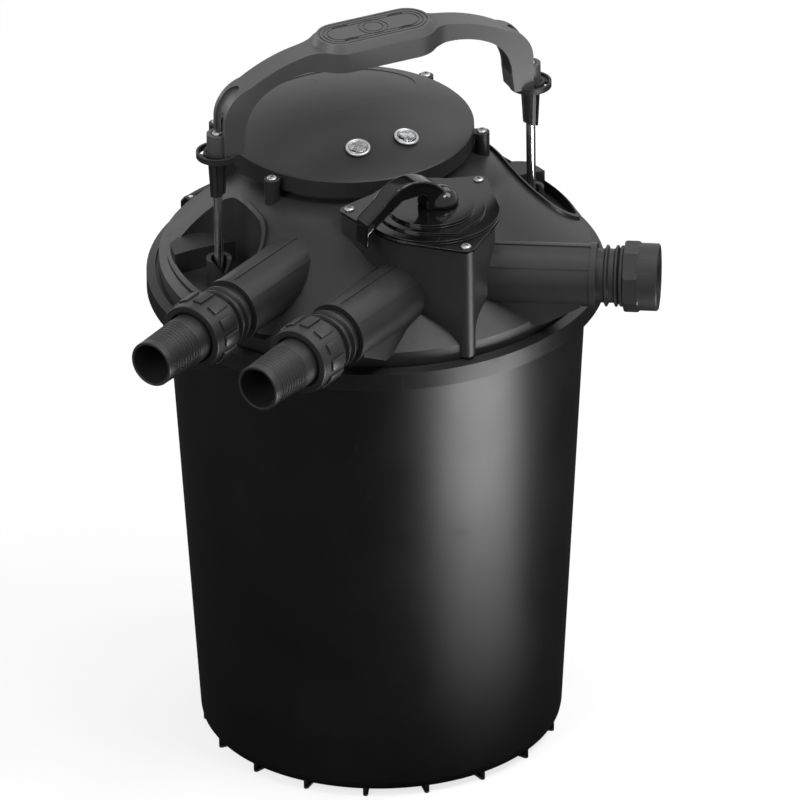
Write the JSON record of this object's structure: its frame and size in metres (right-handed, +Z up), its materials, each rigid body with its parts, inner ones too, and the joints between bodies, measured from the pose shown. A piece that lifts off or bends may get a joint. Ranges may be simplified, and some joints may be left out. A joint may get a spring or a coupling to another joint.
{
  "type": "canister filter",
  "caption": "Pond pressure filter: tapered bucket, clamped lid with lamp housing, three-way valve, hose unions and a pull handle that squeezes its foam.",
  "frame": {"origin": "on the bucket's axis at floor level", "axes": "+Z up, +X along the handle to its right rod, -Y to the valve at the front"},
  "size_m": [0.4915, 0.4666, 0.6655],
  "materials": {
    "bucket_black": "satin-gloss moulded black plastic",
    "lid_black": "fine-grained moulded black plastic",
    "handle_grey": "matte dark grey moulded plastic",
    "gloss_black": "polished black plastic",
    "inner_plastic": "plain moulded plastic",
    "steel": "drawn stainless steel",
    "seal_rubber": "soft black rubber",
    "clear_lens": "clear moulded lens over a bright seat",
    "quartz": "clear quartz glass",
    "foam_blue": "open-cell foam"
  },
  "bodies": {
    "filter": {"bucket": "bucket_black", "lid": "lid_black", "lid_seal": "seal_rubber", "clamp_ring": "lid_black", "clamp_pins": "steel", "uv_cover": "lid_black", "uv_cover_seal": "seal_rubber", "uv_cover_screws": "steel", "indicator_lenses": "clear_lens", "cable_gland": "lid_black", "ballast": "inner_plastic", "quartz_sleeve": "quartz", "quartz_nut": "inner_plastic", "uv_lamp": "quartz", "lamp_holder": "inner_plastic", "lamp_tube": "inner_plastic", "top_grid": "inner_plastic", "rod_bush_left": "inner_plastic", "rod_bush_right": "inner_plastic", "valve_cover": "gloss_black", "valve_cover_screws": "steel", "hose_tail_tank": "lid_black", "hose_tail_inlet": "lid_black", "pipe_socket": "lid_black", "union_seal_tank": "seal_rubber", "union_seal_inlet": "seal_rubber", "union_seal_side": "seal_rubber", "side_port_ring": "seal_rubber", "foam_discs": "foam_blue"},
    "pull_handle": {"handle": "handle_grey", "handle_screws": "steel", "rod_left": "steel", "rod_right": "steel", "rod_sleeve_left": "lid_black", "rod_sleeve_right": "lid_black", "rod_nuts": "steel", "press_plate": "inner_plastic"},
    "valve": {"valve_lever": "gloss_black", "valve_rotor": "inner_plastic"},
    "clamp_lever": {"clamp_lever": "lid_black"},
    "nut_tank": {"union_nut_tank": "lid_black"},
    "nut_inlet": {"union_nut_inlet": "lid_black"}
  },
  "joints": [
    {"name": "handle_slide", "type": "slide", "parent": "filter", "child": "pull_handle", "axis": [0, 0, 1], "range_m": [-0.058, 0], "deforming": ["foam_discs"]},
    {"name": "valve_turn", "type": "hinge", "parent": "filter", "child": "valve", "pos_m": [0, -0.115, 0.537], "axis": [0, 0, 1], "range_deg": [-15, 58]},
    {"name": "clamp_swing", "type": "hinge", "parent": "filter", "child": "clamp_lever", "pos_m": [-0.04024, 0.19978, 0.4279], "axis": [0, 0, -1], "range_deg": [0, 100]},
    {"name": "nut_tank_spin", "type": "hinge", "parent": "filter", "child": "nut_tank", "pos_m": [-0.21651, -0.125, 0.486], "axis": [-0.866, -0.5, 0], "continuous": true},
    {"name": "nut_inlet_spin", "type": "hinge", "parent": "filter", "child": "nut_inlet", "pos_m": [-0.15588, -0.205, 0.486], "axis": [-0.866, -0.5, 0], "continuous": true}
  ]
}
